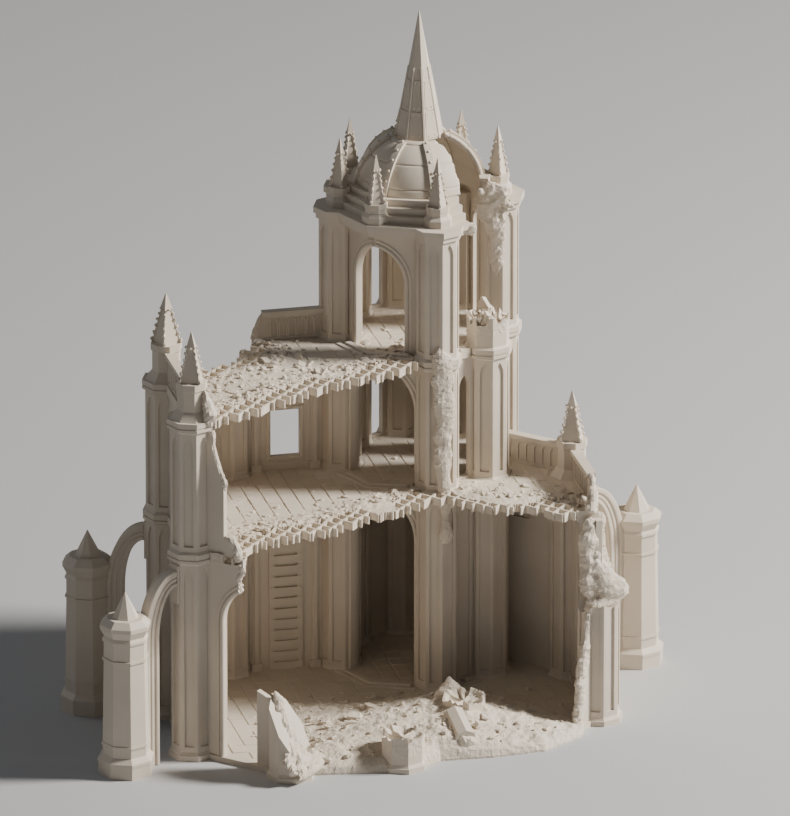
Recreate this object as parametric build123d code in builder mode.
from build123d import *
import os
from math import cos, hypot, pi, radians, sin, sqrt, tan

# A ruined gothic hall with an octagonal bell tower, for miniature wargames.
# It lifts apart into storeys: ground hall, first storey, top storey with the
# belfry, and the dome; three flying buttresses pull away from the turrets.
# Frame: +Z up, the origin on the table under the middle of the two halls,
# +X along the long side, +Y towards the tower. Millimetres.

# ---------------------------------------------------------------- driving sizes
side = 63.0               # side of the two overlapping octagons of the hall
ground_height = 120.5     # table to the first deck
storey_height = 76.0      # deck to deck above it
shaft_radius = 12.0       # turret shaft, over corners
course_radius = 13.75     # plinth and string course of a turret, over corners
plinth_height = 4.7
course_height = 6.5
recess_width = 5.2        # lancet recess in a turret face
recess_depth = 1.1
recess_rise = 7.0
wall = 3.3
floor = 3.0               # ground floor slab
deck = 4.5                # upper floor slabs
ledge = 1.3               # string course of a slab, out past the wall
lift_gap = 0.3            # round whatever a storey slides past as it lifts

pin_radius = 2.0          # locating pins between storeys
pin_height = 4.0
pin_clearance = 0.1

slit_width = 7.2          # lancet openings of the tower
slit_height = 61.0
tower_arch_half = 21.4    # half width of the wide tower arches, along one leg
tower_arch_rise = 27.0
belfry_arch_half = 16.0
belfry_arch_rise = 20.9

hall_arch_half = 10.4     # south-west doorway
hall_arch_spring = 82.0
hall_arch_rise = 18.5

pedestal_height = 20.6    # turret pinnacle: octagonal pedestal, then a spirelet
pedestal_radius = 8.8
spirelet_height = 28.4
spirelet_radius = 7.7

parapet_height = 17.0
parapet_wall = 2.6
rail_height = 2.6
rail_width = 5.4
arcade_pitch = 5.2        # the parapet's row of little pointed arches
arcade_width = 3.6
arcade_rise = 3.0
arcade_depth = 0.6

dome_radius = 36.3
dome_thickness = 2.2
dome_drop = 7.4           # the sphere's centre lies this far under the drum's top
drum_step = 3.97
drum_offsets = (3.45, -0.05, -3.55)   # the drum's corners, from the ring of pier middles
rib_width = 3.5
rib_proud = 1.5
rib_inside = 1.0
spire_radius = 13.2
spire_height = 71.3
spire_seat_share = 0.909  # height of the spire's seat over the sphere's centre, in radii
drum_pedestal_height = 11.0
drum_pedestal_radius = 8.0
drum_spirelet_height = 27.5
drum_spirelet_radius = 5.2

buttress_profile = (      # height and radius over corners of a buttress pier
    (0.0, 15.6), (7.2, 15.6), (7.2, 15.9), (9.0, 15.9), (11.7, 13.0), (17.0, 13.0),
    (17.0, 13.6), (18.4, 13.6), (18.4, 13.0), (66.3, 12.1), (66.3, 12.9), (67.7, 12.9),
    (67.7, 12.1), (77.3, 12.1), (77.3, 12.9), (78.7, 12.9), (80.5, 12.0), (84.7, 14.2),
    (87.0, 14.25), (90.2, 10.5), (90.2, 7.4), (104.5, 0.0),
)
leg_inner = 12.6          # flying arch: its leg, from the pier's middle
leg_outer = 20.4
arch_width = 5.6
arch_crown = 110.0        # extrados where it meets the turret
arch_soffit = 101.5
arch_spring = 72.0
bracket_height = 22.0
bracket_width = 7.6
bracket_proud = 1.3
tenon = 3.0
tenon_clearance = 0.15

tip_radius = 0.25         # flat at the top of every spike

drawn_side = 63.0         # the broken outlines are drawn for this side and grow with it

# ---------------------------------------------------------------- derived places
half = side / 2
apothem = half * (1 + sqrt(2))
diagonal = side / sqrt(2)
level_1 = ground_height
level_2 = level_1 + storey_height
level_3 = level_2 + storey_height
flat = cos(pi / 8)        # an octagon's radius over flats for one over corners

west_rear = (-1.5 * apothem, half)
west_front = (-1.5 * apothem, -half)
south_west = (-apothem / 2 - half, -apothem)
south = (-apothem / 2 + half, -apothem)
middle = (apothem / 2, -half)
north = (-apothem / 2 - half, apothem)
east_rear = (1.5 * apothem, half)
east_front = (1.5 * apothem, -half)
tower = (apothem / 2, apothem)


def about_tower(angle, radius=diagonal):
    """The plan point at this angle and radius round the tower's axis."""
    return (tower[0] + radius * cos(radians(angle)), tower[1] + radius * sin(radians(angle)))


def drawn(points):
    """Broken outline points, in plan, grown with the hall."""
    return [(x * side / drawn_side, y * side / drawn_side) for x, y in points]


tower_west, tower_south = about_tower(180), about_tower(270)
tower_east, tower_north = about_tower(0), about_tower(90)
main_piers = (tower_west, tower_south, tower_east, tower_north)

# ---------------------------------------------------------------- shape helpers


def octagon_stack(levels, sides=8, turn=0.0, centre=(0.0, 0.0)):
    """A column of polygons, one ruled piece between each pair of (height, radius)."""
    for (low, low_radius), (high, high_radius) in zip(levels, levels[1:]):
        if high <= low:
            continue
        with BuildSketch(Plane((centre[0], centre[1], low))) as lower:
            RegularPolygon(low_radius, sides, rotation=turn)
        with BuildSketch(Plane((centre[0], centre[1], high))) as upper:
            RegularPolygon(max(high_radius, tip_radius), sides, rotation=turn)
        loft([lower.sketch, upper.sketch], ruled=True)


def pointed_arch(width, sill, spring, rise, middle_x=0.0, mode=Mode.ADD):
    """Sketch a pointed opening, centred on the line X = middle_x."""
    left, right, apex = middle_x - width / 2, middle_x + width / 2, (middle_x, spring + rise)
    with BuildLine() as outline:
        Polyline((left, spring), (left, sill), (right, sill), (right, spring))
        TangentArc((right, spring), apex, tangent=(0, 1))
        TangentArc((left, spring), apex, tangent=(0, 1))
    make_face(outline.edges(), mode=mode)


def face_planes(radius, faces=range(8)):
    """Upright planes on the flats of an octagon, looking outwards."""
    turns = [radians(22.5 + 45 * k) for k in faces]
    return [
        Plane(
            origin=(radius * flat * cos(t), radius * flat * sin(t), 0),
            x_dir=(-sin(t), cos(t), 0),
            z_dir=(cos(t), sin(t), 0),
        )
        for t in turns
    ]


def bay_plane(start, end, offset=0.0):
    """The upright plane of a wall: X from start to end, Y up, Z to its right side."""
    length = hypot(end[0] - start[0], end[1] - start[1])
    along = ((end[0] - start[0]) / length, (end[1] - start[1]) / length)
    right = (along[1], -along[0])
    return Plane(
        origin=(start[0] + right[0] * offset, start[1] + right[1] * offset, 0),
        x_dir=(along[0], along[1], 0),
        z_dir=(right[0], right[1], 0),
    )


def bay_length(start, end):
    return hypot(end[0] - start[0], end[1] - start[1])


def wall_bay(start, end, low, high, thickness=wall, offset=0.0):
    """A plain wall from start to end."""
    length = bay_length(start, end)
    with BuildSketch(bay_plane(start, end, offset)) as face:
        with Locations((length / 2, (low + high) / 2)):
            Rectangle(length, high - low)
    extrude(face.sketch, amount=thickness / 2, both=True)


def cut_at(piece, *places, height=0.0):
    """Take a finished piece's shape out of the one being made, at each place."""
    with Locations(*[(x, y, height) for x, y in places]):
        add(piece, mode=Mode.SUBTRACT)


def main_body(part):
    """The largest solid of a part, without the crumbs left in sockets and recesses."""
    return part.solids().sort_by(SortBy.VOLUME)[-1]


def course_levels(top, radius=shaft_radius, outer=course_radius):
    """The string course under a level: two lips with a groove between them."""
    low = top - course_height
    return [
        (low, radius), (low + 1.3, outer), (low + 2.9, outer), (low + 2.9, outer - 0.6),
        (low + 3.7, outer - 0.6), (low + 3.7, outer), (top, outer),
    ]


# ---------------------------------------------------------------- turret storeys
with BuildPart() as ground_turret:
    octagon_stack(
        [(0, course_radius), (3.0, course_radius), (3.0, course_radius - 0.7),
         (plinth_height, shaft_radius), *course_levels(level_1)]
    )
    with BuildSketch(*face_planes(shaft_radius)):
        pointed_arch(recess_width, plinth_height + 3,
                     level_1 - course_height - 2 - recess_rise, recess_rise)
    extrude(amount=-recess_depth, mode=Mode.SUBTRACT)

with BuildPart() as upper_turret:
    octagon_stack(
        [(0, course_radius - 0.5), (1.2, shaft_radius), *course_levels(storey_height)]
    )
    with BuildSketch(*face_planes(shaft_radius)):
        pointed_arch(recess_width, 4, storey_height - course_height - 2 - recess_rise, recess_rise)
    extrude(amount=-recess_depth, mode=Mode.SUBTRACT)

with BuildPart() as pin:
    Cylinder(pin_radius, pin_height, align=(Align.CENTER, Align.CENTER, Align.MIN))
    chamfer(pin.faces().sort_by(Axis.Z)[-1].edges(), 0.5)

with BuildPart() as pin_socket:
    Cylinder(
        pin_radius + pin_clearance,
        pin_height + 0.5,
        align=(Align.CENTER, Align.CENTER, Align.MIN),
    )

with BuildPart() as pinned_ground_turret:
    add(ground_turret.part)
    with Locations((0, 0, level_1)):
        add(pin.part)

with BuildPart() as pinned_upper_turret:
    add(upper_turret.part)
    add(pin_socket.part, mode=Mode.SUBTRACT)
    with Locations((0, 0, storey_height)):
        add(pin.part)


def bracket(angle):
    """The socket plate that a flying arch plugs into, on the turret's flat."""
    turn = radians(angle)
    plate = bracket_proud + recess_depth
    face = Plane(
        origin=((shaft_radius * flat + bracket_proud) * cos(turn),
                (shaft_radius * flat + bracket_proud) * sin(turn), 0),
        x_dir=(-sin(turn), cos(turn), 0),
        z_dir=(cos(turn), sin(turn), 0),
    )
    top = arch_crown + 3
    with BuildSketch(face) as outline:
        with Locations((0, top - bracket_height / 2)):
            Rectangle(bracket_width, bracket_height)
    extrude(outline.sketch, amount=-plate)
    with BuildSketch(face) as mortise:
        with Locations((0, (arch_crown + arch_soffit) / 2)):
            Rectangle(tenon + 2 * tenon_clearance, tenon + 2 * tenon_clearance)
    extrude(mortise.sketch, amount=-tenon - 2 * tenon_clearance, mode=Mode.SUBTRACT)


buttressed = (
    ("west_rear", west_rear, 157.5),
    ("west_front", west_front, 202.5),
    ("east_rear", east_rear, 22.5),
)
ground_turrets = {}
for name, place, angle in buttressed:
    with BuildPart() as turret:
        add(pinned_ground_turret.part)
        bracket(angle)
    with BuildPart() as placed:
        with Locations((*place, 0)):
            add(turret.part)
    ground_turrets[name] = placed.part

with BuildPart() as turret_north:
    with Locations((*north, 0)):
        add(pinned_ground_turret.part)
ground_turrets["north"] = turret_north.part

# The front east turret is broken: whole to break_height, and above it only the
# rear slice that still clings to the east wall.
break_height = 64.0
shard_back = 3.0
shard_side = 1.0
with BuildPart() as turret_east_front:
    with Locations((*east_front, 0)):
        add(ground_turret.part)
    with BuildSketch(Plane.YZ.offset(east_front[0] - 2 * shaft_radius)):
        with BuildLine():
            Polyline(
                (east_front[1] - 2 * shaft_radius, break_height + 14),
                (east_front[1] - 2, break_height),
                (east_front[1] + shard_back, break_height + 9),
                (east_front[1] + shard_back + 3, level_1 + 9),
                (east_front[1] - 2 * shaft_radius, level_1 + 9),
                close=True,
            )
        make_face()
    extrude(amount=4 * shaft_radius, mode=Mode.SUBTRACT)
    # the outer half of that slice is gone too
    with BuildSketch(Plane.XZ.offset(-east_front[1])):
        with BuildLine():
            Polyline(
                (east_front[0] + 2 * shaft_radius, break_height + 8),
                (east_front[0] + 10, break_height + 9),
                (east_front[0] + 5, break_height + 20),
                (east_front[0] + shard_side, break_height + 33),
                (east_front[0] + shard_side, level_1 + 9),
                (east_front[0] + 2 * shaft_radius, level_1 + 9),
                close=True,
            )
        make_face()
    extrude(amount=2 * shaft_radius, both=True, mode=Mode.SUBTRACT)
    # the first bay of the fallen south-east wall
    stub_end = (east_front[0] - 15, east_front[1] - 15)
    with BuildSketch(bay_plane(east_front, stub_end)):
        with BuildLine():
            Polyline((8, floor), (24, floor), (21, 9), (20, 22), (17, 36), (15, 46), (13, 60),
                     (8, 60), close=True)
        make_face()
    extrude(amount=wall / 2, both=True)
ground_turrets["east_front"] = turret_east_front.part

# ---------------------------------------------------------------- stumps of fallen piers
stump_heights = {"south_west": 46.0, "south": 16.5, "middle": 17.0}
right_jamb = side - 20.5


def stump(place, height, lean, toward):
    """A broken octagonal pier with a sloping top, lowest towards the given angle."""
    octagon_stack(
        [(0, course_radius), (3.0, course_radius), (3.0, course_radius - 0.7),
         (plinth_height, shaft_radius), (height, shaft_radius)],
        centre=place,
    )
    turn = radians(toward)
    split(
        bisect_by=Plane(
            origin=(*place, height - shaft_radius * tan(radians(lean))),
            z_dir=(cos(turn) * sin(radians(lean)), sin(turn) * sin(radians(lean)), cos(radians(lean))),
        ),
        keep=Keep.BOTTOM,
    )


with BuildPart() as stump_south_west:
    stump(south_west, stump_heights["south_west"], 58, -45)
    with BuildSketch(bay_plane(west_front, south_west)):
        with BuildLine():
            Polyline(
                (right_jamb, floor), (side - 8, floor), (side - 8, 40),
                (right_jamb + 5, 44), (right_jamb, stump_heights["south_west"]), close=True,
            )
        make_face()
    extrude(amount=wall / 2, both=True)
with BuildPart() as stump_south:
    stump(south, stump_heights["south"], 14, -60)
with BuildPart() as stump_middle:
    stump(middle, stump_heights["middle"], 10, 200)
pier_stumps = Compound(children=[stump_south_west.part, stump_south.part, stump_middle.part])

# ---------------------------------------------------------------- ground floor
ground_break = drawn([(-57, -86), (-40, -79.4), (-20, -82), (-7.4, -86), (15.3, -71.4),
                      (45, -73), (74.8, -70.8), (88, -62), (97, -55), (104, -47)])
hall_reach = apothem + wall / 2 + ledge


def hall_outline(middles):
    """The halls' octagons and the tower's, in one slab outline."""
    for x in middles:
        with Locations((x, 0)):
            RegularPolygon(hall_reach, 8, major_radius=False, rotation=22.5)
    with Locations(tower):
        RegularPolygon(diagonal + (wall / 2 + ledge) / flat, 8)


with BuildPart() as ground_floor:
    with BuildSketch():
        hall_outline((-apothem / 2, apothem / 2))
        with BuildLine():
            Polyline(*ground_break, (2 * apothem, -side), (2 * apothem, -3 * side),
                     (-side, -3 * side), close=True)
        make_face(mode=Mode.SUBTRACT)
        with Locations(west_rear, west_front, north, east_rear, east_front,
                       south_west, south, middle, *main_piers):
            RegularPolygon(course_radius, 8, mode=Mode.SUBTRACT)
        with Locations(*[about_tower(a) for a in (315, 45, 135)]):
            RegularPolygon(course_radius, 8, mode=Mode.SUBTRACT)
    extrude(amount=floor)

# ---------------------------------------------------------------- ground walls
wall_low = floor
wall_high = level_1 - deck


def blind_arch(start, end, low, high, side_of_wall):
    """A pointed panel sunk in one face of a bay: +1 its right side, -1 its left."""
    length = bay_length(start, end)
    plane = bay_plane(start, end, side_of_wall * wall / 2)
    width = length - 2 * shaft_radius - 12
    rise = 0.8 * width
    with BuildSketch(plane) as panel:
        pointed_arch(width, low, high - rise, rise, length / 2)
    extrude(panel.sketch, amount=-side_of_wall * recess_depth, mode=Mode.SUBTRACT)


with BuildPart() as wall_west:
    wall_bay(west_front, west_rear, wall_low, wall_high)
    blind_arch(west_front, west_rear, wall_low + 6, wall_high - 6, -1)
    cut_at(ground_turrets["west_rear"], (0, 0))
    cut_at(ground_turrets["west_front"], (0, 0))

with BuildPart() as wall_northwest:
    wall_bay(west_rear, north, wall_low, wall_high)
    blind_arch(west_rear, north, wall_low + 6, wall_high - 6, -1)
    cut_at(ground_turrets["west_rear"], (0, 0))
    cut_at(ground_turrets["north"], (0, 0))

with BuildPart() as wall_east:
    wall_bay(east_rear, east_front, wall_low, wall_high)
    blind_arch(east_rear, east_front, wall_low + 6, wall_high - 10, 1)
    cut_at(ground_turrets["east_rear"], (0, 0))
    cut_at(ground_turrets["east_front"], (0, 0))

with BuildPart() as wall_southwest:
    with BuildSketch(bay_plane(west_front, south_west)):
        with BuildLine():
            Polyline(
                (0, wall_low), (half - hall_arch_half, wall_low),
                (half - hall_arch_half, hall_arch_spring),
                (half, hall_arch_spring), (half - 1, hall_arch_spring + hall_arch_rise),
                (half - 2, wall_high - 7), (half + 2, wall_high), (0, wall_high), close=True,
            )
        make_face()
        pointed_arch(2 * hall_arch_half, 0, hall_arch_spring, hall_arch_rise, half, Mode.SUBTRACT)
    extrude(amount=wall / 2, both=True)
    cut_at(ground_turrets["west_front"], (0, 0))


# The north wall stands between the north turret and the tower's west pier.
north_bay = (north, tower_west)
with BuildPart() as wall_north:
    wall_bay(*north_bay, wall_low, wall_high)
    cut_at(ground_turrets["north"], (0, 0))
    cut_at(pinned_ground_turret.part, tower_west)

vent_width = 19.0
vent_height = 81.0
slot_pitch = 6.3
slot_count = 11
with BuildPart() as vent_panel:
    with BuildSketch(bay_plane(*north_bay, wall / 2)):
        with Locations((side / 2, floor + vent_height / 2)):
            Rectangle(vent_width, vent_height)
        with Locations((side / 2, floor + 5 + slot_pitch * (slot_count - 1) / 2)):
            with GridLocations(0, slot_pitch, 1, slot_count):
                Rectangle(12.9, 1.8, mode=Mode.SUBTRACT)
    extrude(amount=1.4)

# ---------------------------------------------------------------- tower storeys


def tower_ring(start, end, low, high):
    """The tower's octagonal wall between two angles."""
    with BuildSketch(Plane((tower[0], tower[1], low))) as ring:
        RegularPolygon(diagonal + wall / 2 / flat, 8)
        RegularPolygon(diagonal - wall / 2 / flat, 8, mode=Mode.SUBTRACT)
        reach = 2 * diagonal
        spread = [radians(start + (end - start) * step / 3) for step in range(4)]
        Polygon((0, 0), *[(reach * cos(a), reach * sin(a)) for a in spread],
                align=None, mode=Mode.INTERSECT)
    extrude(ring.sketch, amount=high - low)


def tower_side(angle, low, high, base, pier, open_slits):
    """Two wall bays folded round a middle pier, each with a lancet: open or blind."""
    tower_ring(angle - 45, angle + 45, low, high)
    with Locations((*about_tower(angle), base)):
        add(pier)
    corners = (about_tower(angle - 45), about_tower(angle), about_tower(angle + 45))
    for start, end in zip(corners, corners[1:]):
        middle_x = bay_length(start, end) / 2
        rise = slit_width
        if open_slits:
            with BuildSketch(bay_plane(start, end)) as slit:
                pointed_arch(slit_width, base + 1.5, base + slit_height - rise, rise, middle_x)
            extrude(slit.sketch, amount=wall, both=True, mode=Mode.SUBTRACT)
        else:
            with BuildSketch(bay_plane(start, end, wall / 2)) as slit:
                pointed_arch(slit_width, low + 3, high - 6 - rise, rise, middle_x)
            extrude(slit.sketch, amount=-recess_depth, mode=Mode.SUBTRACT)
    cut_at(pier, corners[0], corners[2], height=base)


def tower_arch(low, high, base, pier, reach, spring, rise):
    """The folded south-west wall, with one pointed arch across its fold."""
    tower_ring(180, 270, low, high)
    fold = about_tower(225)
    for corner in (tower_west, tower_south):
        with BuildSketch(bay_plane(fold, corner)) as leaf:
            with BuildLine() as outline:
                Polyline((0, spring + rise), (-wall, spring + rise), (-wall, low - 1),
                         (reach, low - 1), (reach, spring))
                TangentArc((reach, spring), (0, spring + rise), tangent=(0, 1))
            make_face(outline.edges())
        extrude(leaf.sketch, amount=wall, both=True, mode=Mode.SUBTRACT)
    cut_at(pier, tower_west, tower_south, height=base)


with BuildPart() as tower_piers_ground:
    with Locations(*[(*place, 0) for place in main_piers]):
        add(pinned_ground_turret.part)

side_angles = {"southeast": 315, "northeast": 45, "northwest": 135}
tower_sides_ground = {}
for name, angle in side_angles.items():
    with BuildPart() as panel:
        tower_side(angle, wall_low, wall_high, 0, ground_turret.part, False)
    tower_sides_ground[name] = panel.part

# The north-east wall runs from the rear east turret into the flank of the east pier.
lean = cos(radians(45))
run = (east_rear[0] - tower_east[0] + tower_east[1] - east_rear[1]) * lean
north_east = (east_rear[0] - run * lean, east_rear[1] + run * lean)
niche_length = 14.0
niche_width = 5.0
with BuildPart() as wall_northeast:
    wall_bay(east_rear, north_east, wall_low, wall_high)
    with BuildSketch(bay_plane(east_rear, north_east, -wall / 2)):
        with Locations((run * 0.6, level_1 * 0.76)):
            SlotOverall(niche_length, niche_width)
    extrude(amount=recess_depth, mode=Mode.SUBTRACT)
    cut_at(ground_turrets["east_rear"], (0, 0))
    cut_at(pinned_ground_turret.part, tower_east)
    add(tower_sides_ground["southeast"], mode=Mode.SUBTRACT)

with BuildPart() as tower_arch_ground:
    spring = level_1 - deck - tower_arch_rise - 1.5
    tower_arch(wall_low, wall_high, 0, pinned_ground_turret.part,
               tower_arch_half, spring, tower_arch_rise)

# ---------------------------------------------------------------- rubble on the ground floor
block_radius = 6.3
block_foot = (30.0 * side / drawn_side, -70.0 * side / drawn_side, floor + 6.4)
block_head = (29.0 * side / drawn_side, -46.0 * side / drawn_side, floor + 12.0)
block_axis = [b - a for a, b in zip(block_foot, block_head)]
block_length = sqrt(sum(d * d for d in block_axis))
with BuildPart() as fallen_block:
    with BuildSketch(Plane(origin=block_foot, x_dir=(1, 0, 0), z_dir=block_axis)):
        RegularPolygon(block_radius, 8)
    extrude(amount=block_length)
    cut_at(stump_middle.part, (0, 0))

heap_outline = drawn([(-66, -58), (-52, -76), (-38, -77), (-20, -79), (-6, -82), (14, -69.5),
                      (44, -71), (73, -69), (86, -60), (92, -48), (70, -38), (52, -14),
                      (30, -8), (5, -20), (-20, -30), (-45, -40)])
heap_top = drawn([(-40, -60), (-18, -72), (10, -62), (44, -56), (56, -34), (34, -20), (0, -34)])
heap_step = 2.6
peak = drawn([(33, -17)])[0]
with BuildPart() as rubble_heap:
    for step, outline in enumerate((heap_outline, heap_top)):
        with BuildSketch(Plane.XY.offset(floor + step * heap_step)):
            Polygon(*outline, align=None)
        extrude(amount=heap_step)
    for step, radius in enumerate((8.0, 5.5, 3.0)):
        with BuildSketch(Plane((*peak, floor + 2 * heap_step + 3.6 * step))):
            RegularPolygon(radius, 6)
        extrude(amount=3.6)
    for piece in (stump_south_west.part, stump_south.part, stump_middle.part, fallen_block.part,
                  ground_turrets["east_front"]):
        add(piece, mode=Mode.SUBTRACT)

# ---------------------------------------------------------------- first deck and its walls
first_break = drawn([(-98, -72), (-90, -60), (-79.7, -38), (-59, -30), (-32.5, -25), (-10.9, -12),
                     (5.9, -5.6), (19, 0), (30.8, 8.8), (39.6, 5.5), (43, -0.6), (55, -9.9),
                     (68.4, -16), (82.3, -17), (91.4, -31), (102.7, -29)])
second_break = drawn([(-118, -50), (-105.6, -44), (-81, -35), (-54, -17), (-31, -3), (-7.4, 2.7),
                      (16.2, 11.8), (28.7, 21.8)])
second_back = drawn([(-91.3, 42.4), (-82, 46), (-73.4, 49), (-68.4, 60.7), (-58.9, 69.7),
                     (-58.9, 95)])
tower_places = [about_tower(45 * k) for k in range(8) if k != 5]


def slab(top, middles, front, holes):
    """Sketch an upper floor: the halls and the tower, less what fell and the piers."""
    with BuildSketch(Plane.XY.offset(top - deck)) as outline:
        hall_outline(middles)
        Polygon(*front, align=None, mode=Mode.SUBTRACT)
        with Locations(*holes):
            RegularPolygon(course_radius + lift_gap, 8, mode=Mode.SUBTRACT)
    return outline.sketch


first_front = [*first_break, east_front, (2 * apothem, -half), (2 * apothem, -3 * side),
               (-2 * apothem, -3 * side), (-2 * apothem, -1.5 * side)]
first_holes = [west_rear, west_front, north, east_rear, east_front, *tower_places]
with BuildPart() as first_deck:
    extrude(slab(level_1, (-apothem / 2, apothem / 2), first_front, first_holes), amount=deck)

upper_high = level_2 - deck


def placed_upper(place, part, base):
    with BuildPart() as placed_part:
        with Locations((*place, base)):
            add(part)
    return placed_part.part


# The north turret is broken off under the second deck, lowest at its outer side.
north_break = 54.0
north_break_lean = 16.0
with BuildPart() as broken_north:
    with Locations((*north, level_1)):
        add(pinned_upper_turret.part)
    slope = radians(north_break_lean)
    split(
        bisect_by=Plane(
            origin=(*north, level_1 + north_break),
            z_dir=(-sin(slope) * cos(radians(45)), sin(slope) * sin(radians(45)), cos(slope)),
        ),
        keep=Keep.BOTTOM,
    )
upper_turrets = {
    "west_rear": placed_upper(west_rear, pinned_upper_turret.part, level_1),
    "west_front": placed_upper(west_front, pinned_upper_turret.part, level_1),
    "north": broken_north.part,
}

with BuildPart() as upper_wall_west:
    wall_bay(west_front, west_rear, level_1, upper_high)
    blind_arch(west_front, west_rear, level_1 + 4, upper_high - 5, -1)
    cut_at(upper_turrets["west_rear"], (0, 0))
    cut_at(upper_turrets["west_front"], (0, 0))

with BuildPart() as upper_wall_northwest:
    with BuildSketch(bay_plane(west_rear, north)):
        with BuildLine():
            Polyline((0, level_1), (side, level_1), (side, upper_high - 20), (side - 10, upper_high - 15),
                     (side - 18, upper_high - 9), (side - 27, upper_high - 4), (side - 36, upper_high),
                     (0, upper_high), close=True)
        make_face()
    extrude(amount=wall / 2, both=True)
    cut_at(upper_turrets["west_rear"], (0, 0))
    cut_at(upper_turrets["north"], (0, 0))

window_width = 16.5
window_height = 27.0
window_sill = 8.0
with BuildPart() as upper_wall_north:
    with BuildSketch(bay_plane(*north_bay)):
        with BuildLine():
            Polyline((0, level_1), (side, level_1), (side, upper_high), (13, upper_high),
                     (10, upper_high - 11), (5, level_1 + north_break - 4),
                     (0, level_1 + north_break - 6), close=True)
        make_face()
    extrude(amount=wall / 2, both=True)
    with BuildSketch(bay_plane(*north_bay)):
        with Locations((side / 2, level_1 + window_sill + window_height / 2)):
            Rectangle(window_width, window_height)
    extrude(amount=wall, both=True, mode=Mode.SUBTRACT)
    cut_at(upper_turrets["north"], (0, 0))
    cut_at(pinned_upper_turret.part, tower_west, height=level_1)

window_jamb = 21.5
with BuildPart() as upper_wall_southwest:
    with BuildSketch(bay_plane(west_front, south_west)):
        with BuildLine():
            Polyline((0, level_1), (30, level_1), (27, level_1 + 9), (window_jamb, level_1 + 10),
                     (window_jamb, level_1 + 38), (20, level_1 + 44), (14.5, level_1 + 60),
                     (12.5, upper_high), (0, upper_high), close=True)
        make_face()
    extrude(amount=wall / 2, both=True)
    cut_at(upper_turrets["west_front"], (0, 0))

with BuildPart() as tower_piers_first:
    with Locations(*[(*place, level_1) for place in main_piers]):
        add(pinned_upper_turret.part)

tower_sides_first = {}
for name, angle in side_angles.items():
    with BuildPart() as panel:
        tower_side(angle, level_1, upper_high, level_1, upper_turret.part, True)
    tower_sides_first[name] = panel.part

with BuildPart() as tower_arch_first:
    spring = upper_high - tower_arch_rise - 1.5
    tower_arch(level_1, upper_high, level_1, pinned_upper_turret.part,
               tower_arch_half, spring, tower_arch_rise)

# ---------------------------------------------------------------- pinnacles and parapets


def pinnacle(place, base, turn):
    """A turret's pinnacle: sloped foot, octagonal pedestal, cap and square spirelet."""
    cap = pedestal_height - 4.4
    octagon_stack(
        [(base, shaft_radius), (base + 4.8, pedestal_radius - 0.8), (base + cap, pedestal_radius - 0.8),
         (base + cap + 0.6, pedestal_radius), (base + pedestal_height, pedestal_radius)],
        centre=place,
    )
    foot = base + pedestal_height
    collar = foot + 0.66 * spirelet_height
    thin = spirelet_radius * 0.34
    octagon_stack(
        [(foot, spirelet_radius), (collar, thin), (collar, thin + 0.7), (collar + 1.2, thin + 0.7),
         (foot + spirelet_height, 0)],
        sides=4, turn=turn, centre=place,
    )


def pinned_pinnacle(place, base, turn):
    """A pinnacle with a socket under it for the turret's locating pin."""
    with BuildPart() as spike:
        pinnacle(place, base, turn)
        cut_at(pin_socket.part, place, height=base)
    return spike.part


pinnacles = {
    "west_rear": pinned_pinnacle(west_rear, level_2, 157.5),
    "west_front": pinned_pinnacle(west_front, level_2, 202.5),
    "east_rear": pinned_pinnacle(east_rear, level_1, 22.5),
}


def parapet(start, end, base, first, last, neighbours, broken_end=0.0):
    """An arcaded parapet on the line start-end, between two distances along it."""
    plane = bay_plane(start, end)
    top = base + parapet_height
    with BuildSketch(plane) as web:
        with BuildLine() as outline:
            Polyline((first + broken_end, top - rail_height), (first, base), (last, base),
                     (last, top - rail_height), close=True)
        make_face(outline.edges())
    extrude(web.sketch, amount=parapet_wall / 2, both=True)
    with BuildSketch(plane) as rail:
        with Locations(((first + broken_end + last) / 2, top - rail_height / 2)):
            Rectangle(last - first - broken_end, rail_height)
    extrude(rail.sketch, amount=rail_width / 2, both=True)
    count = int((last - first - broken_end - 4) / arcade_pitch)
    middle_x = (first + broken_end + last) / 2
    for face in (1, -1):
        with BuildSketch(bay_plane(start, end, face * parapet_wall / 2)) as arcade:
            for step in range(count):
                pointed_arch(arcade_width, base + 2.4, top - rail_height - 4.4, arcade_rise,
                             middle_x + (step - (count - 1) / 2) * arcade_pitch)
        extrude(arcade.sketch, amount=-face * arcade_depth, mode=Mode.SUBTRACT)
    for piece in neighbours:
        add(piece, mode=Mode.SUBTRACT)


with BuildPart() as parapet_west:
    parapet(west_front, west_rear, level_2, 0, side,
            (pinnacles["west_rear"], pinnacles["west_front"]))
with BuildPart() as parapet_northeast:
    parapet(east_rear, north_east, level_1, 0, run,
            (pinnacles["east_rear"], placed_upper(tower_east, pinned_upper_turret.part, level_1),
             tower_sides_first["southeast"]))
with BuildPart() as parapet_east:
    parapet(east_front, east_rear, level_1, 15, side, (pinnacles["east_rear"],), 3.0)

# ---------------------------------------------------------------- second deck and belfry
second_front = [*second_break, tower_south, (tower_south[0] + half, tower_south[1] - half),
                (tower_south[0] + half, -3 * side), (-2 * apothem, -3 * side), (-2 * apothem, -half - 12)]
second_holes = [west_rear, west_front, north, *tower_places]
with BuildPart() as second_deck:
    with BuildSketch(Plane.XY.offset(level_2 - deck)) as second_outline:
        add(slab(0, (-apothem / 2,), second_front, second_holes).moved(Location((0, 0, deck))))
        Polygon(*second_back, (-3 * side, 95), (-3 * side, half), west_rear,
                align=None, mode=Mode.SUBTRACT)
    extrude(amount=deck)

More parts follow.
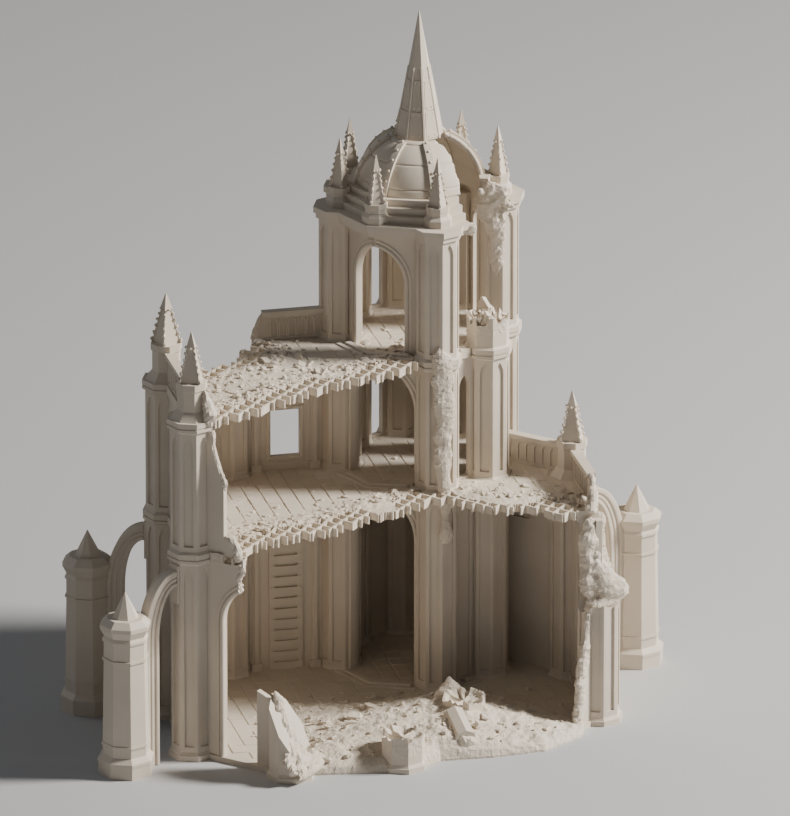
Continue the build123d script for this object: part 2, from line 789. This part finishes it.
belfry_top = level_3 - course_height
belfry_height = belfry_top - level_2
with BuildPart() as belfry_pier:
    octagon_stack([(0, course_radius - 0.5), (1.2, shaft_radius), (belfry_height, shaft_radius)])
    with BuildSketch(*face_planes(shaft_radius)):
        pointed_arch(recess_width, 4, belfry_height - 2 - recess_rise, recess_rise)
    extrude(amount=-recess_depth, mode=Mode.SUBTRACT)
with BuildPart() as pinned_belfry_pier:
    add(belfry_pier.part)
    add(pin_socket.part, mode=Mode.SUBTRACT)

stub_height = 11.0
with BuildPart() as belfry_piers:
    with Locations(*[(*place, level_2) for place in main_piers]):
        add(pinned_belfry_pier.part)
    octagon_stack([(level_2, course_radius - 0.5), (level_2 + 1.2, shaft_radius),
                   (level_2 + stub_height, shaft_radius)], centre=about_tower(315))

belfry_sides = {}
for name in ("northeast", "northwest"):
    with BuildPart() as panel:
        tower_side(side_angles[name], level_2, belfry_top, level_2, belfry_pier.part, True)
        cut_at(pinned_belfry_pier.part, about_tower(side_angles[name] - 45),
               about_tower(side_angles[name] + 45), height=level_2)
    belfry_sides[name] = panel.part

with BuildPart() as belfry_arch:
    spring = level_2 + 40.7
    tower_arch(level_2, belfry_top, level_2, pinned_belfry_pier.part,
               belfry_arch_half, spring, belfry_arch_rise)

with BuildPart() as parapet_north:
    parapet(*north_bay, level_2, 14, side,
            (placed_upper(tower_west, pinned_belfry_pier.part, level_2),), 5.0)

ruin_start, ruin_end = 292.0, 344.0     # the sector of the belfry's top that fell
cornice_reach = 8.05      # the cornice's corners, out past the piers' middles


def fallen_sector(low, high, start=ruin_start, end=ruin_end):
    """Take the fallen sector away between two heights."""
    with BuildSketch(Plane((tower[0], tower[1], low))) as wedge:
        reach = 2 * diagonal
        Polygon((0, 0), *[(reach * cos(radians(a)), reach * sin(radians(a)))
                          for a in (start, (start + end) / 2, end)], align=None)
    extrude(wedge.sketch, amount=high - low, mode=Mode.SUBTRACT)


with BuildPart() as belfry_cornice:
    for low, high, reach in ((belfry_top, belfry_top + 3.0, 0.0), (belfry_top + 3.0, level_3, 1.4)):
        with BuildSketch(Plane.XY.offset(low)) as lip:
            with Locations(tower):
                RegularPolygon(diagonal + cornice_reach + reach, 8)
            with Locations(*[about_tower(45 * k) for k in range(8) if k not in (5, 7)]):
                RegularPolygon(course_radius + reach - 0.1, 8)
            with Locations(tower):
                RegularPolygon(diagonal - wall / 2 / flat, 8, mode=Mode.SUBTRACT)
        extrude(amount=high - low)
    fallen_sector(belfry_top, level_3)
    with Locations(*[(*about_tower(a), level_3) for a in (90, 180, 270)]):
        add(pin.part)

# ---------------------------------------------------------------- dome
drum_radii = [diagonal + offset for offset in drum_offsets]
spire_seat = spire_seat_share * dome_radius
drum_top = level_3 + len(drum_radii) * drum_step
dome_centre = drum_top - dome_drop
spire_base = dome_centre + spire_seat
pinnacle_angles = [45 * k for k in range(8) if k != 7]
shell_inner = dome_radius - dome_thickness
oculus = sqrt(shell_inner**2 - dome_drop**2)

with BuildPart() as drum_pinnacles:
    for angle in pinnacle_angles:
        place = about_tower(angle)
        lower = level_3
        octagon_stack(
            [(lower, drum_pedestal_radius), (lower + 4.0, drum_pedestal_radius),
             (lower + 6.0, drum_pedestal_radius - 1.8), (lower + 8.0, drum_pedestal_radius - 1.8),
             (lower + 8.4, drum_pedestal_radius - 1.4),
             (lower + drum_pedestal_height, drum_pedestal_radius - 1.4)],
            centre=place,
        )
        foot = lower + drum_pedestal_height
        collar = foot + 0.66 * drum_spirelet_height
        thin = drum_spirelet_radius * 0.34
        octagon_stack(
            [(foot, drum_spirelet_radius), (collar, thin), (collar, thin + 0.6),
             (collar + 1.0, thin + 0.6), (foot + drum_spirelet_height, 0)],
            sides=4, turn=angle, centre=place,
        )
    cut_at(pin_socket.part, *[about_tower(a) for a in (90, 180, 270)], height=level_3)

with BuildPart() as drum:
    for step, radius in enumerate(drum_radii):
        with BuildSketch(Plane((tower[0], tower[1], level_3 + step * drum_step))) as tier:
            RegularPolygon(radius, 8)
            Circle(oculus, mode=Mode.SUBTRACT)
        extrude(amount=drum_step)
    fallen_sector(level_3, drum_top)
    add(drum_pinnacles.part, mode=Mode.SUBTRACT)

with BuildPart() as rib:
    with BuildSketch(Plane.XZ):
        Circle(dome_radius + rib_proud)
        Circle(shell_inner - rib_inside, mode=Mode.SUBTRACT)
        Polygon((0, dome_drop), (2 * dome_radius, dome_drop), (2 * dome_radius, spire_seat),
                (0, spire_seat), align=None, mode=Mode.INTERSECT)
    extrude(amount=rib_width / 2, both=True)

with BuildPart() as dome_ribs:
    for angle in pinnacle_angles:
        add(rib.part.rotate(Axis.Z, angle).moved(Location((*tower, dome_centre))))
    add(drum_pinnacles.part, mode=Mode.SUBTRACT)

with BuildPart() as dome_panels:
    with Locations((*tower, dome_centre)):
        Sphere(dome_radius)
        Sphere(shell_inner, mode=Mode.SUBTRACT)
    split(bisect_by=Plane.XY.offset(drum_top), keep=Keep.TOP)
    split(bisect_by=Plane.XY.offset(spire_base), keep=Keep.BOTTOM)
    fallen_sector(drum_top, spire_base, 297, 355)
    add(dome_ribs.part, mode=Mode.SUBTRACT)
    add(drum_pinnacles.part, mode=Mode.SUBTRACT)

with BuildPart() as spire:
    octagon_stack([(spire_base, spire_radius), (spire_base + spire_height, 0)], centre=tower)

# ---------------------------------------------------------------- flying buttresses
arch_end = diagonal - shaft_radius * flat - bracket_proud - 0.2
arch_middle = (arch_crown + arch_soffit) / 2
buttress_piers = {}
flying_arches = {}
for name, turret_place, angle in buttressed:
    turn = radians(angle)
    foot = (turret_place[0] + diagonal * cos(turn), turret_place[1] + diagonal * sin(turn))
    with BuildPart() as pier:
        octagon_stack(buttress_profile, centre=foot)
    buttress_piers[name] = pier.part
    inward = (-cos(turn), -sin(turn), 0)
    with BuildPart() as arch:
        with BuildSketch(Plane(origin=(*foot, 0), x_dir=inward, z_dir=(inward[1], -inward[0], 0))):
            with BuildLine():
                Polyline((leg_inner - 2, arch_spring), (leg_inner - 2, 0), (leg_outer, 0),
                         (leg_outer, arch_spring))
                EllipticalCenterArc((arch_end, arch_spring), arch_end - leg_outer,
                                    arch_soffit - arch_spring, 90, arc_size=90)
                Line((arch_end, arch_soffit), (arch_end, arch_crown))
                EllipticalCenterArc((arch_end, arch_spring), arch_end - leg_inner + 2,
                                    arch_crown - arch_spring, 90, arc_size=90)
            make_face()
        extrude(amount=arch_width / 2, both=True)
        with BuildSketch(Plane(origin=(foot[0] + arch_end * inward[0], foot[1] + arch_end * inward[1], 0),
                               x_dir=(-inward[1], inward[0], 0), z_dir=inward)):
            with Locations((0, arch_middle)):
                Rectangle(tenon, tenon)
        extrude(amount=tenon)
        add(pier.part, mode=Mode.SUBTRACT)
    flying_arches[name] = main_body(arch.part)

# ---------------------------------------------------------------- write the pieces
pieces = {
    "pier_stumps": pier_stumps,
    "tower_piers_ground": tower_piers_ground.part,
    "tower_piers_first": tower_piers_first.part,
    "belfry_piers": belfry_piers.part,
    "drum_pinnacles": drum_pinnacles.part,
    "dome_panels": dome_panels.part,
    "dome_ribs": dome_ribs.part,
}
single_bodies = {
    "ground_floor": ground_floor,
    "ground_rubble": rubble_heap,
    "fallen_block": fallen_block,
    "wall_west": wall_west,
    "wall_northwest": wall_northwest,
    "wall_north": wall_north,
    "wall_northeast": wall_northeast,
    "wall_east": wall_east,
    "wall_southwest": wall_southwest,
    "vent_panel": vent_panel,
    "tower_arch_ground": tower_arch_ground,
    "first_deck": first_deck,
    "upper_wall_west": upper_wall_west,
    "upper_wall_northwest": upper_wall_northwest,
    "upper_wall_north": upper_wall_north,
    "upper_wall_southwest": upper_wall_southwest,
    "tower_arch_first": tower_arch_first,
    "parapet_northeast": parapet_northeast,
    "parapet_east": parapet_east,
    "second_deck": second_deck,
    "parapet_west": parapet_west,
    "parapet_north": parapet_north,
    "belfry_arch": belfry_arch,
    "belfry_cornice": belfry_cornice,
    "drum": drum,
    "spire": spire,
}
for name, builder in single_bodies.items():
    pieces[name] = main_body(builder.part)
for group, prefix in (
    (ground_turrets, "turret"), (tower_sides_ground, "tower_side_ground"),
    (upper_turrets, "upper_turret"), (tower_sides_first, "tower_side_first"),
    (pinnacles, "pinnacle"), (belfry_sides, "belfry_side"),
    (buttress_piers, "buttress_pier"), (flying_arches, "flying_arch"),
):
    for name, solid in group.items():
        pieces[f"{prefix}_{name}"] = solid

os.makedirs("parts", exist_ok=True)
for name, solid in pieces.items():
    solid.label = name
    export_step(solid, f"parts/{name}.step")
